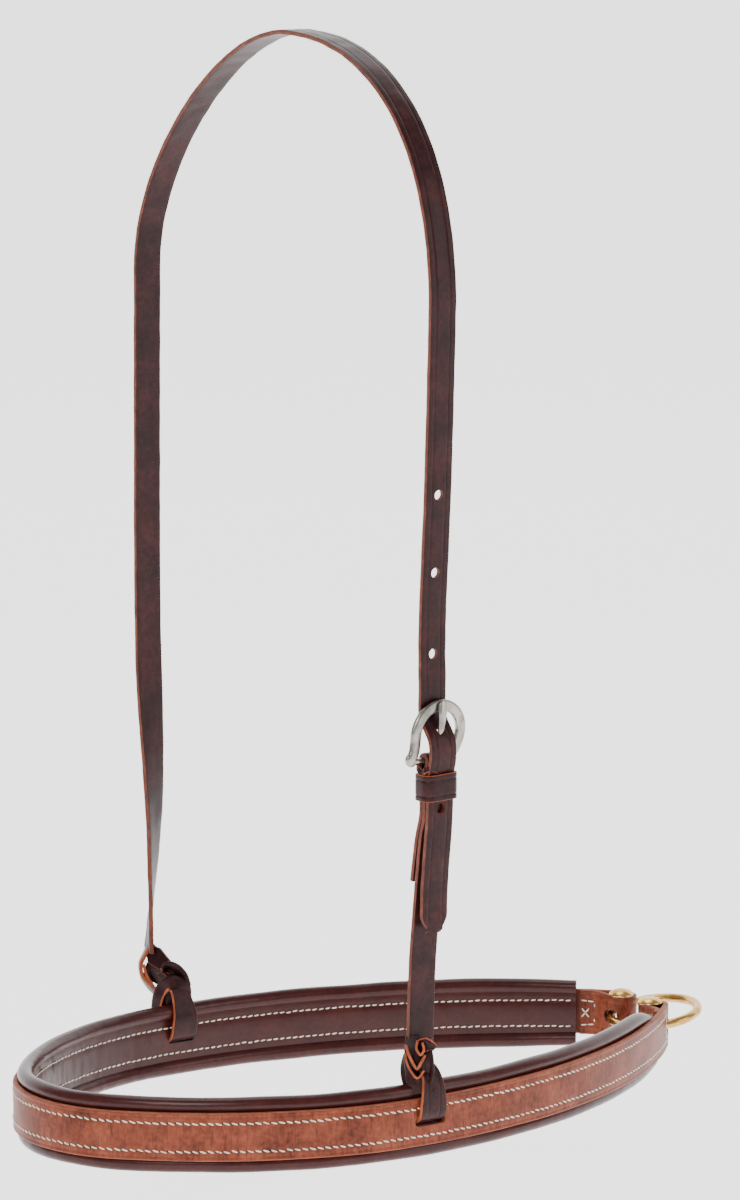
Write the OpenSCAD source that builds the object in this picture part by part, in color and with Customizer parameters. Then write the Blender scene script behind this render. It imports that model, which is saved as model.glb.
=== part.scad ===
// Bitless hackamore: a padded leather noseband hung from one buckled headstall strap,
// closed under the chin by a brass ring on two posts.
// X runs from the nose (-) to the chin (+), -Y is the buckle side and +Z is up.
// The origin is where the crown strap hangs: the underside of its highest point.

/* [Headstall strap] */
// Height of the crown's underside above the noseband slots
drop = 549; // [450:1:660]
// Width of the headstall strap
strap_w = 16; // [12:0.5:20]
// Thickness of the headstall strap
strap_t = 2.4; // [1.8:0.1:3]
// Half width of the arch on the buckle side
arch_near = 126; // [110:1:140]
// Half width of the arch on the plain side
arch_far = 138; // [120:1:155]
// Drop from the crown to the shoulders of the arch
shoulder = 130; // [100:1:150]
// Spacing of the adjusting holes along the strap
hole_pitch = 40.5; // [30:0.5:45]
// Diameter of the adjusting holes
hole_d = 5.4; // [4.4:0.1:6.5]
// Adjusting holes above the buckle
spare_holes = 3; // [1:1:4]
// Length of the free strap end below the buckle's heel bar
billet_len = 90; // [60:1:110]
// Length of the point on the strap end
point_len = 9; // [5:1:15]

/* [Buckle] */
// Height of the buckle's heel bar above the slots
heel_h = 188.5; // [170:0.5:230]
// Outer radius of the buckle frame's round top
frame_r = 17; // [14:0.5:19]
// Width of the frame's flat band
frame_band = 5.4; // [4:0.1:6]
// Thickness of the frame
frame_t = 3; // [2:0.1:4]
// Distance from the centre of the round top down to the heel bar
frame_leg = 13.5; // [11:0.5:18]
// Diameter of the heel bar
heel_d = 3.2; // [2.6:0.1:4]
// Width of the tongue
tongue_w = 3.2; // [2.4:0.1:4]
// Thickness of the tongue
tongue_t = 2.2; // [1.6:0.1:3]

/* [Keeper] */
// Height of the keeper's middle above the slots
keeper_h = 175; // [160:0.5:178]
// Height of the keeper band
keeper_w = 13.5; // [9:0.5:16]
// Thickness of the keeper leather
keeper_t = 1.8; // [1.2:0.1:2.4]

/* [Noseband] */
// Width across the middle of the band at the slots
band_span = 224; // [180:1:270]
// Radius of the bend over the nose
nose_r = 69.5; // [55:0.5:85]
// Half angle of the bend over the nose
nose_a = 39; // [30:1:45]
// Distance from the slots forward to the band's chin end
chin_reach = 232; // [200:1:260]
// Half of the gap between the band's two chin ends
chin_gap = 16; // [15:0.5:22]
// Height of the outer strap
outer_w = 25; // [22:0.5:30]
// Thickness of the outer strap
outer_t = 3; // [2.4:0.1:3.6]
// Height of the liner over its rolled edges
liner_h = 39; // [36:0.5:47]
// Thickness of the liner between its rolled edges
liner_t = 4.9; // [3.6:0.1:6]
// Radius of the rolled edges
roll_r = 4.2; // [3.4:0.1:5]
// Distance from the band's chin end back to the end of the liner
liner_back = 24; // [20:1:40]
// Length of the slots in the outer strap
slot_len = 24; // [20:1:30]
// Height of the slots in the outer strap
slot_h = 7; // [5.5:0.5:9]
// Spacing of the two stitch rows
row_gap = 14.6; // [12:0.2:18]
// Diameter of the thread
thread_d = 0.9; // [0.6:0.1:1.2]

/* [Chin ring] */
// Radius of the ring's centreline
ring_r = 24; // [22:0.5:27]
// Diameter of the ring's wire
ring_wire = 5; // [3.4:0.1:6]
// Distance from the posts out to the ring's centre
ring_out = 13.5; // [11:0.5:14.5]
// Upward tilt of the ring as it lies
ring_tilt = 9; // [0:1:12]
// Diameter of the posts
post_d = 5; // [4:0.1:6]
// Height of the folded strap between the post heads
fold_h = 23; // [17:0.5:25]
// Diameter of the domed heads
head_d = 14; // [11:0.5:16]
// Height of the domed heads
head_h = 3.8; // [2:0.1:5]

/* [Ties] */
// Height above the slots of the axis about which the noseband swings
pivot_h = 44; // [38:0.5:60]
// Thickness of the strap where it is tied
tie_t = 2; // [1.6:0.1:2.4]

/* [Hidden] */
$fn = 64;
clear = 0.3;
fit = 0.1;
strap_gap = strap_t + clear;
slot_y = band_span / 2;
steel = [0.62, 0.6, 0.58];
brass = [0.75, 0.6, 0.32];
latigo = [0.28, 0.19, 0.19];
burgundy = [0.33, 0.18, 0.16];
russet = [0.65, 0.37, 0.26];
thread = [0.92, 0.86, 0.8];

// Plan of the noseband's middle line: three tangent arcs a side, mirrored in X.
outer_s = liner_t / 2 + 0.05;
inner_s = outer_s - liner_t;
face_s = outer_s + outer_t;
roll_z = liner_h / 2 - roll_r;
roll_s = outer_s - 0.27 - sqrt(roll_r * roll_r - pow(roll_z - outer_w / 2, 2));
cheek_r = (slot_y - nose_r * sin(nose_a)) / (1 - sin(nose_a));
jaw_a = 2 * atan((slot_y - chin_gap) / chin_reach);
jaw_r = chin_reach / sin(jaw_a);
nose_c = [(nose_r - cheek_r) * cos(nose_a), 0];
cheek_c = [0, slot_y - cheek_r];
jaw_c = [0, slot_y - jaw_r];
end_p = [chin_reach, chin_gap];
liner_a = liner_back / jaw_r * 180 / PI;

// Folded chin ends, in a frame whose x runs along the strap and y runs outward.
fold_r = 8.5;
fold_s = face_s - fold_r;
fold_mid = fold_r - outer_t / 2;
return_s = outer_s - outer_t / 2;
return_x = -liner_back + clear;
neck_x = return_x + 8;
neck_d = norm([neck_x, return_s - fold_s]);
neck_a = atan2(fold_s - return_s, -neck_x) - asin(fold_mid / neck_d);
post_s = fold_s - 2;
post_p = end_p + post_s * [sin(jaw_a), cos(jaw_a)];
ring_x = post_p[0] + ring_out;
ring_z = (ring_out + 1.5) * tan(ring_tilt);
ring_slot_h = ring_wire + 3.4;
ring_slot_len = ring_wire + 4;

// Stack of the strap layers at the buckle, counted outward from the heel bar's axis.
heel_y = max(arch_near - 5, slot_y + 9);
fold_out = heel_d / 2 + fit + strap_t / 2;
crest_y = heel_y + fold_out + strap_gap + 0.5;
top_y = heel_y - frame_t / 2 - clear - strap_t / 2;
front_y = heel_y + 0.4;
bar_z = heel_h + frame_leg + frame_r - frame_band / 2;
tongue_z = bar_z - frame_band / 2 - 11;
tip_z = heel_h - billet_len;
cheek_y = slot_y - 4;
far_y = arch_far + 2;

// ---- paths and ribbons ----

function spline(a, b, c, d, t) = 0.5 * (2 * b + (c - a) * t + (2 * a - 5 * b + 4 * c - d) * t * t
    + (3 * b - a - 3 * c + d) * t * t * t);
function smooth(p, n = 6) = [for (i = [0 : len(p) - 2]) for (j = [0 : n - 1])
    spline(p[max(i - 1, 0)], p[i], p[i + 1], p[min(i + 2, len(p) - 1)], j / n), p[len(p) - 1]];
function bezier(a, b, c, d, n = 16) = [for (i = [1 : n]) let (t = i / n, u = 1 - t)
    u * u * u * a + 3 * u * u * t * b + 3 * u * t * t * c + t * t * t * d];
function unit(v) = v / norm(v);
function tangent(p, i) = unit(p[min(i + 1, len(p) - 1)] - p[max(i - 1, 0)]);
function flip(p) = [for (i = [len(p) - 1 : -1 : 0]) p[i]];

// Closed flat strip of thickness t along a plane path.
module strip(p, t) {
    side = [for (i = [0 : len(p) - 1]) let (d = tangent(p, i)) [-d[1], d[0]] * t / 2];
    polygon(concat(p + side, flip(p - side)));
}

// Leather strip in the Y-Z plane, w wide along X.
module hanging_strip(p, w, t) {
    rotate([90, 0, 90]) linear_extrude(w, center = true) strip(p, t);
}

// Closed flat ribbon along a space path, its width turned to the directions in u.
module ribbon(p, u, w, t) {
    n = len(p);
    points = [for (i = [0 : n - 1])
        let (side = unit(u[i]) * w[i] / 2, up = unit(cross(tangent(p, i), u[i])) * t / 2)
        each [p[i] - side - up, p[i] + side - up, p[i] + side + up, p[i] - side + up]];
    walls = [for (i = [0 : n - 2]) for (k = [0 : 3])
        let (a = 4 * i + k, b = 4 * i + (k + 1) % 4) each [[a, b + 4, b], [a, a + 4, b + 4]]];
    last = 4 * (n - 1);
    polyhedron(points, concat([[0, 1, 2], [0, 2, 3]], walls,
        [[last, last + 2, last + 1], [last, last + 3, last + 2]]));
}

// Round about the axis on which the noseband swings, right across the part.
module pivot(r) {
    translate([0, 0, pivot_h]) rotate([90, 0, 0]) cylinder(r = r, h = 400, center = true);
}

// ---- headstall ----

// Middle line of the crown strap as (y, height above the slots), from the plain side to the tip.
crown_z = drop + strap_t / 2;
far_leg = smooth([[far_y, pivot_h], [arch_far - 3.5, pivot_h + 81],
    [arch_far + 1.5, pivot_h + 186], [arch_far, drop - shoulder]], 10);
far_arch = bezier([arch_far, drop - shoulder], [arch_far, drop - shoulder + 0.45 * shoulder],
    [0.42 * arch_far, crown_z], [0, crown_z], 20);
near_arch = bezier([0, crown_z], [-0.62 * arch_near, crown_z],
    [-arch_near, drop - shoulder + 0.62 * shoulder], [-arch_near, drop - shoulder], 20);
near_leg = smooth([[-arch_near, drop - shoulder], [-(arch_near + top_y) / 2 - 0.6, bar_z + 118],
    [-top_y + 0.1, bar_z + 42], [-top_y, bar_z + 8]], 8);
billet = smooth([[-top_y, bar_z + 8], [-top_y + 0.1, bar_z - 5], [-top_y - 4.2, tongue_z + 2],
    [-crest_y + 0.9, tongue_z - 3.4], [-crest_y, heel_h + 4.5], [-crest_y + 0.6, heel_h - 1.5],
    [-front_y - strap_gap - 1.1, keeper_h + 8.2], [-front_y - strap_gap - 0.3, keeper_h + 4.5],
    [-front_y - strap_gap, keeper_h], [-front_y - strap_gap, keeper_h - 15],
    [-front_y + 1.4, tip_z + 24], [-front_y + 2, tip_z]], 6);
crown_path = concat(far_leg, far_arch, near_arch, [for (i = [1 : len(near_leg) - 1]) near_leg[i]],
    [for (i = [1 : len(billet) - 1]) billet[i]]);
strap_end = len(crown_path) - 1;
far_turn = 68;

// The plain side turns edge-on towards its tie.
function turn_at(z, y) = y < 0 ? 0 : far_turn * pow(max(0, 1 - (z - pivot_h) / 150), 1.2);
function width_at(z) = z > tip_z + point_len ? strap_w
    : max(1.5, strap_w * (z - tip_z) / point_len);

// The point on the strap at height z, and its slope there.
function index_at(z, from = strap_end) = crown_path[from][1] >= z ? from : index_at(z, from - 1);
function along(i, len_left) = len_left <= 0 ? i
    : along(i - 1, len_left - norm(crown_path[i] - crown_path[i - 1]));

// A punched hole, drawn out along the strap where the tongue has pulled on it.
module strap_hole(i, pull = 0) {
    p = crown_path[i];
    d = tangent(crown_path, i);
    translate([0, p[0], p[1] - drop]) rotate([atan2(d[1], d[0]) - 90, 0, 0]) {
        for (z = pull > 0 ? [-pull, pull] : [0])
            translate([0, 0, z]) rotate([90, 0, 0]) cylinder(d = hole_d, h = 3 * strap_t, center = true);
        if (pull > 0) cube([hole_d, 3 * strap_t, 2 * pull], center = true);
    }
}

module crown_strap() {
    cut_z = tip_z + point_len;
    path = [for (q = crown_path) [0, q[0], q[1] - drop]];
    turns = [for (q = crown_path) let (a = turn_at(q[1], q[0])) [cos(a), sin(a), 0]];
    widths = [for (i = [0 : strap_end]) i < strap_end / 2 ? strap_w : width_at(crown_path[i][1])];
    tongue_i = index_at(tongue_z);
    color(latigo) difference() {
        ribbon(path, turns, widths, strap_t);
        translate([0, 0, -drop]) pivot(strap_w / 2 + clear);
        strap_hole(index_at(tongue_z - hole_pitch + 1));
        strap_hole(index_at(tongue_z - 0.8), 3.2);
        for (k = [1 : spare_holes]) strap_hole(along(tongue_i, k * hole_pitch));
    }
}

// The doubled strap that holds the buckle: up the front, round the heel bar and down behind.
cheek_up = [[-cheek_y, pivot_h], [-cheek_y - 2, pivot_h + 38], [-front_y + 6.4, keeper_h - 50],
    [-front_y + 3.2, keeper_h - 27], [-front_y, keeper_h - 15], [-front_y, keeper_h - 4],
    [-front_y - 0.3, keeper_h + 4], [-heel_y - fold_out + 1.1, heel_h - 5]];
heel_turn = [for (a = [180 : -15 : 0]) [-heel_y + fold_out * cos(a), heel_h + fold_out * sin(a)]];
cheek_down = [[-heel_y + fold_out - 0.2, heel_h - 4], [-front_y + strap_gap, keeper_h + 3],
    [-front_y + strap_gap, keeper_h - 4], [-front_y + strap_gap, keeper_h - 15],
    [-front_y + strap_gap + 3.6, keeper_h - 27],
    [-front_y + strap_gap + 7.8, keeper_h - 50]];

module cheek_strap() {
    up = smooth(cheek_up, 5);
    down = smooth(cheek_down, 5);
    color(latigo) translate([0, 0, -drop]) difference() {
        hanging_strip(concat([for (i = [0 : len(up) - 2]) up[i]], heel_turn,
            [for (i = [1 : len(down) - 1]) down[i]]), strap_w, strap_t);
        pivot(strap_w / 2 + clear);
        translate([0, -heel_y, heel_h]) cube([tongue_w + 2 * clear, 16, 12], center = true);
    }
}

// Thin lace that pins the fold shut, curled round the strap's front edge.
module cheek_lace() {
    lace_z = (heel_h + keeper_h + keeper_w / 2) / 2 - 1.6;
    color([0.6, 0.33, 0.2]) translate([-strap_w / 2 - 0.2, -front_y + strap_gap / 2, lace_z - drop])
        rotate([0, 0, 90]) rotate_extrude(angle = 180) translate([strap_gap + 1.3, 0]) square([1.2, 3], center = true);
}

// ---- buckle and keeper ----

// Flat band with a bevelled outer rim, standing in the X-Z plane.
module frame_profile() {
    polygon([[frame_r - frame_band, -frame_t / 2], [frame_r - 1, -frame_t / 2], [frame_r, -frame_t / 2 + 1],
        [frame_r, frame_t / 2 - 1], [frame_r - 1, frame_t / 2], [frame_r - frame_band, frame_t / 2]]);
}

module buckle_frame() {
    end_x = frame_r - frame_band / 2;
    color(steel) translate([0, -heel_y, heel_h - drop]) rotate([90, 0, 0]) {
        translate([0, frame_leg, 0]) rotate_extrude(angle = 180) frame_profile();
        for (side = [0, 1]) mirror([side, 0, 0]) {
            translate([end_x - frame_band / 2, 2, -frame_t / 2]) cube([frame_band - 0.4, frame_leg - 2 + 0.01, frame_t]);
            translate([end_x + 0.3, 0, -frame_t / 2]) cylinder(r = frame_band / 2 + 0.7, h = frame_t);
        }
        rotate([0, 90, 0]) cylinder(d = heel_d, h = 2 * end_x, center = true);
    }
}

// The tongue lies in its own plane: up from the heel bar, through the hole, over the top bar.
module buckle_tongue() {
    eye = heel_d / 2 + fit;
    rest_y = heel_y + frame_t / 2 + fit + tongue_t / 2;
    path = smooth([[-heel_y - eye - tongue_t / 2 + 0.3, heel_h + 1.5], [-heel_y - eye - 0.6, heel_h + 6],
        [-crest_y + 3.2, tongue_z - 1.2], [-rest_y - 0.6, bar_z - frame_band / 2 - 3], [-rest_y, bar_z],
        [-rest_y, bar_z + frame_band / 2 - 0.6]], 6);
    color(steel) translate([0, 0, -drop]) {
        hanging_strip(path, tongue_w, tongue_t);
        translate([0, -heel_y, heel_h]) rotate([0, 90, 0]) difference() {
            cylinder(r = eye + tongue_t * 0.55, h = tongue_w, center = true);
            cylinder(r = eye, h = tongue_w + 1, center = true);
        }
    }
}

// Rounded rectangle made of two bars and four discs.
module rounded(w, h, r) {
    square([w - 2 * r, h], center = true);
    square([w, h - 2 * r], center = true);
    for (x = [-1, 1]) for (y = [-1, 1]) translate([x * (w / 2 - r), y * (h / 2 - r)]) circle(r);
}

module keeper() {
    in_w = strap_w + 2 * clear + 0.6;
    in_d = 3 * strap_t + 4 * clear + 1;
    color(latigo) translate([0, -front_y, keeper_h - drop]) linear_extrude(keeper_w, center = true) difference() {
        rounded(in_w + 2 * keeper_t, in_d + 2 * keeper_t, keeper_t + 0.8);
        rounded(in_w, in_d, 0.8);
    }
}

// ---- noseband ----

// Middle line of one side in plan with its outward directions, from the nose to the liner's end or the chin.
function arc(c, r, a0, a1, n) = [for (i = [0 : n]) let (a = a0 + (a1 - a0) * i / n)
    [c + r * [cos(a), sin(a)], [cos(a), sin(a)]]];
function but_last(p) = [for (i = [0 : len(p) - 2]) p[i]];
function half_line(chin) = let (jaw = arc(jaw_c, jaw_r, 90, 90 - jaw_a + liner_a, 11))
    concat(but_last(arc(nose_c, nose_r, 180, 180 - nose_a, 9)),
        but_last(arc(cheek_c, cheek_r, 180 - nose_a, 90, 12)), jaw,
        [for (q = chin ? [arc(jaw_c, jaw_r, 90 - jaw_a, 90, 1)[0]] : []) q]);
function whole_line(chin) = let (h = half_line(chin))
    concat([for (q = flip(h)) [[q[0][0], -q[0][1]], [q[1][0], -q[1][1]]]], [for (i = [1 : len(h) - 1]) h[i]]);

// Sweeps a closed outline of (outward, up) points along the whole band.
module band_sweep(outline, chin = true) {
    line = whole_line(chin);
    k = len(outline);
    n = len(line);
    points = [for (q = line) each [for (o = outline) [each q[0] + o[0] * q[1], o[1]]]];
    walls = [for (i = [0 : n - 2]) for (j = [0 : k - 1]) let (a = i * k + j, b = i * k + (j + 1) % k)
        each [[a, b + k, b], [a, a + k, b + k]]];
    polyhedron(points, concat([[for (j = [0 : k - 1]) j]], walls, [[for (j = [k - 1 : -1 : 0]) (n - 1) * k + j]]));
}

module at_end(side) {
    mirror([0, side < 0 ? 1 : 0, 0]) translate(end_p) rotate([0, 0, -jaw_a]) children();
}

// Round-ended cutter for the slots, through the band on both sides.
module slots(w, h) {
    for (side = [-1, 1]) translate([0, side * slot_y, 0]) rotate([90, 0, 0]) linear_extrude(30, center = true) {
        square([w - h, h], center = true);
        for (x = [-1, 1]) translate([x * (w - h) / 2, 0]) circle(d = h);
    }
}

// The strap folded round a post: out to the tip, round it and back along the inside.
module fold_plan() {
    turn = [for (a = [90 : -10 : -90]) [fold_mid * cos(a), fold_s + fold_mid * sin(a)]];
    strip(concat([[-0.5, fold_s + fold_mid]], turn,
        [for (a = [-95 : -5 : -90 + neck_a]) [fold_mid * cos(a), fold_s + fold_mid * sin(a)]],
        smooth([[fold_mid * cos(neck_a - 90), fold_s + fold_mid * sin(neck_a - 90)],
            [neck_x + 1, return_s - 0.4], [return_x, return_s]], 5)), outer_t);
}

// Room for the ring through each folded end: a slot that follows the ring's own curve.
module ring_cutter() {
    for (side = [-1, 1]) mirror([0, side < 0 ? 1 : 0, 0]) translate([ring_x, 0, 0]) rotate([0, 0, 98])
        rotate_extrude(angle = 64) translate([ring_r, 0]) square([ring_slot_len, ring_slot_h], center = true);
}

module noseband_strap() {
    taper = atan((outer_w - fold_h) / 2 / liner_back);
    color(russet) translate([0, 0, -drop]) difference() {
        union() {
            band_sweep([[outer_s, -outer_w / 2], [face_s, -outer_w / 2], [face_s, outer_w / 2],
                [outer_s, outer_w / 2]]);
            for (side = [-1, 1]) at_end(side) linear_extrude(outer_w, center = true) fold_plan();
        }
        slots(slot_len, slot_h);
        for (side = [-1, 1]) at_end(side) for (up = [0, 1]) mirror([0, 0, up])
            translate([0, -30, fold_h / 2]) rotate([0, taper, 0]) translate([-liner_back - 6, 0, 0])
                cube([liner_back + 30, 60, 10]);
        ring_cutter();
    }
}

// Upper half of the liner's outline: the flat middle and the rolled edge, outer side first.
function liner_edge() = let (a0 = acos((outer_s - 0.27 - roll_s) / roll_r),
        a1 = 270 - asin((roll_s - inner_s) / roll_r))
    concat([[outer_s, outer_w / 2]], [for (i = [0 : 12]) let (a = -a0 + (a1 + a0) * i / 12)
        [roll_s + roll_r * cos(a), roll_z + roll_r * sin(a)]]);

module noseband_liner() {
    outline = concat([for (q = flip(liner_edge())) [q[0], -q[1]]], liner_edge());
    color(burgundy) translate([0, 0, -drop]) difference() {
        band_sweep(outline, false);
        slots(strap_w + 3, slot_h);
    }
}

// Outer and inner run of one stitch row.
module stitch_row(z) {
    run = [for (a = [0 : 60 : 300]) [cos(a), sin(a)] * thread_d / 2];
    lie = thread_d / 2 + 0.02;
    color(thread) translate([0, 0, -drop]) {
        band_sweep([for (q = run) q + [face_s + lie, z]]);
        band_sweep([for (q = run) q + [inner_s - lie, z]], false);
    }
}

// Stitches that close the folded end: two runs that draw together and a cross between them.
module end_stitching(side) {
    y = return_s - outer_t / 2 - thread_d / 2 - 0.05;
    color(thread) translate([0, 0, -drop]) at_end(side) for (up = [0, 1]) mirror([0, 0, up])
        translate([return_x + 0.5, y, row_gap / 2 - 0.6]) {
            rotate([0, 94, 0]) cylinder(d = thread_d, h = 6, $fn = 24);
            translate([1, 0, -2]) rotate([0, 132, 0]) cylinder(d = thread_d, h = 7, $fn = 24);
        }
}

module chin_post(side) {
    color(brass) translate([0, 0, -drop]) at_end(side) translate([0, post_s, 0]) {
        translate([0, 0, -fold_h / 2]) cylinder(d = post_d, h = fold_h);
        translate([0, 0, fold_h / 2]) dome();
    }
}

module dome() {
    curve = (head_d * head_d / 4 + head_h * head_h) / (2 * head_h);
    intersection() {
        cylinder(d = head_d, h = head_h + 1);
        translate([0, 0, head_h - curve]) sphere(curve);
    }
}

module chin_cap(side) {
    color(brass) translate([0, 0, -drop]) at_end(side) translate([0, post_s, -fold_h / 2])
        mirror([0, 0, 1]) dome();
}

module chin_ring() {
    color(brass) translate([ring_x, 0, ring_z - drop]) rotate([0, -ring_tilt, 0])
        rotate_extrude() translate([ring_r, 0]) circle(d = ring_wire);
}

// ---- ties ----

// One turn of strap through the slot and over the band's top edge, as (outward, up).
tie_out = face_s + thread_d + clear + tie_t / 2;
tie_in = roll_s - roll_r - clear - tie_t / 2;
band_top = liner_h / 2;
module tie_loop(side) {
    path = smooth([[tie_t * 0.6, band_top + 9], [tie_out - 1.8, band_top + 4], [tie_out, band_top - 4],
        [tie_out, band_top - 12], [tie_out - 1.6, 2.4], [outer_s, 0], [inner_s + 1, 0],
        [tie_in + 1.6, 2.4], [tie_in, band_top - 11], [tie_in, band_top - 4], [tie_in / 2, band_top + 4],
        [-tie_t * 0.6, band_top + 9]], 5);
    translate([0, side * slot_y, 0]) mirror([0, side < 0 ? 1 : 0, 0]) hanging_strip(path, strap_w, tie_t);
}

// The strap's end below the swing axis, turned about its own length.
module neck(y, turn, len) {
    translate([0, y, 0]) intersection() {
        rotate([0, 0, turn]) translate([0, 0, pivot_h - len / 2 + strap_w / 4])
            cube([strap_w, strap_t, len + strap_w / 2], center = true);
        union() {
            pivot(strap_w / 2);
            translate([0, 0, pivot_h - len]) cube([2 * strap_w, 2 * strap_w, 2 * len], center = true);
        }
    }
}

module near_tie() {
    y = -slot_y;
    color(latigo) translate([0, 0, -drop]) {
        tie_loop(-1);
        neck(-cheek_y, 0, pivot_h - band_top - 6);
        translate([0, y + 1.5, band_top + 10]) linear_extrude(9, center = true) rounded(strap_w + 1.5, 9, 3.5);
        translate([0, y + 2, band_top + 14]) rotate([0, 90, 0]) cylinder(r = 5, h = strap_w - 1, center = true);
        translate([6, 0, 0]) hanging_strip(smooth([[y - 1, band_top + 9], [y - 4.4, band_top + 13],
            [y - 5.4, band_top + 18], [y - 3.4, band_top + 22]], 5), 9, tie_t);
    }
}

module far_tie() {
    y = slot_y;
    color(latigo) translate([0, 0, -drop]) {
        tie_loop(1);
        neck(far_y, far_turn, 7);
        translate([0, y + 2, band_top + 10]) rotate([0, 0, 12]) linear_extrude(10, center = true)
            rounded(strap_w + 1, 11, 4.5);
        translate([-3, 0, 0]) hanging_strip(smooth([[far_y - 1, pivot_h - 2], [far_y + 6, band_top + 18],
            [far_y + 3, band_top + 8], [far_y - 8, band_top + 4], [y + 4, band_top + 8]], 5), 7, tie_t);
        translate([3, 0, 0]) hanging_strip(smooth([[far_y, pivot_h - 2], [far_y - 8, band_top + 17],
            [y + 4, band_top + 12]], 5), 7, tie_t);
    }
}

crown_strap();
cheek_strap();
cheek_lace();
buckle_frame();
buckle_tongue();
keeper();
noseband_strap();
noseband_liner();
stitch_row(row_gap / 2);  // stitching_top
stitch_row(-row_gap / 2);  // stitching_bottom
end_stitching(-1);  // end_stitching_near
end_stitching(1);  // end_stitching_far
chin_post(-1);  // chin_post_near
chin_post(1);  // chin_post_far
chin_cap(-1);  // chin_cap_near
chin_cap(1);  // chin_cap_far
chin_ring();
near_tie();
far_tie();
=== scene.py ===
import math
import bmesh
import bpy
import numpy as np
from mathutils import Matrix, Vector, noise

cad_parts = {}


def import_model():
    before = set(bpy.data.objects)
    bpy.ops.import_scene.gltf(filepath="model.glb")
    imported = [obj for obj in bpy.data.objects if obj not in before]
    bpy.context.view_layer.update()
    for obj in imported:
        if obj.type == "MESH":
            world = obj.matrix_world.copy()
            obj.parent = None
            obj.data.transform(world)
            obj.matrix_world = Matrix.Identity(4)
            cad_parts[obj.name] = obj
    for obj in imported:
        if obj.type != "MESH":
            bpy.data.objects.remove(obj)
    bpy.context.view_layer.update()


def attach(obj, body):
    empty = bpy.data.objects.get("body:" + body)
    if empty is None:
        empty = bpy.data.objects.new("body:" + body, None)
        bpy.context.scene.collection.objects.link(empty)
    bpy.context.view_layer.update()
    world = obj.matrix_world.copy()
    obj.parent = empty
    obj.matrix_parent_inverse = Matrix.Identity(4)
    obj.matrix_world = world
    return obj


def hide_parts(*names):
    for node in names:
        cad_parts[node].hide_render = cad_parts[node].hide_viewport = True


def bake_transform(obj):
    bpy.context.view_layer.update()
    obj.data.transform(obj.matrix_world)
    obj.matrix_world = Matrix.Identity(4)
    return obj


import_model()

# Sizes are in millimetres, heights above the noseband's slots, as in the part's source.
DROP = 549.0
SLOT_Y = 112.0
PIVOT = 44.0
HEEL = 188.5
KEEPER = 175.0
rng = np.random.default_rng(11)


# ---- camera ----

def make_camera():
    cam = bpy.data.objects.new("camera", bpy.data.cameras.new("camera"))
    bpy.context.scene.collection.objects.link(cam)
    right = (0.80737, -0.59004, 0.0)
    up = (0.08976, 0.12282, 0.98836)
    back = (-0.58317, -0.79798, 0.15212)
    at = (-1.69609, -2.38550, 0.15644)
    cam.matrix_world = Matrix([[right[i], up[i], back[i], at[i]] for i in range(3)] + [[0, 0, 0, 1]])
    cam.data.sensor_fit = "VERTICAL"
    cam.data.sensor_height = 36
    cam.data.lens = 170.4
    cam.data.clip_start, cam.data.clip_end = 0.1, 50
    bpy.context.scene.camera = cam


make_camera()


# ---- node helpers ----

def lin(r, g, b):
    def f(c):
        c /= 255
        return c / 12.92 if c <= 0.04045 else ((c + 0.055) / 1.055) ** 2.4
    return (f(r), f(g), f(b), 1.0)


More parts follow.
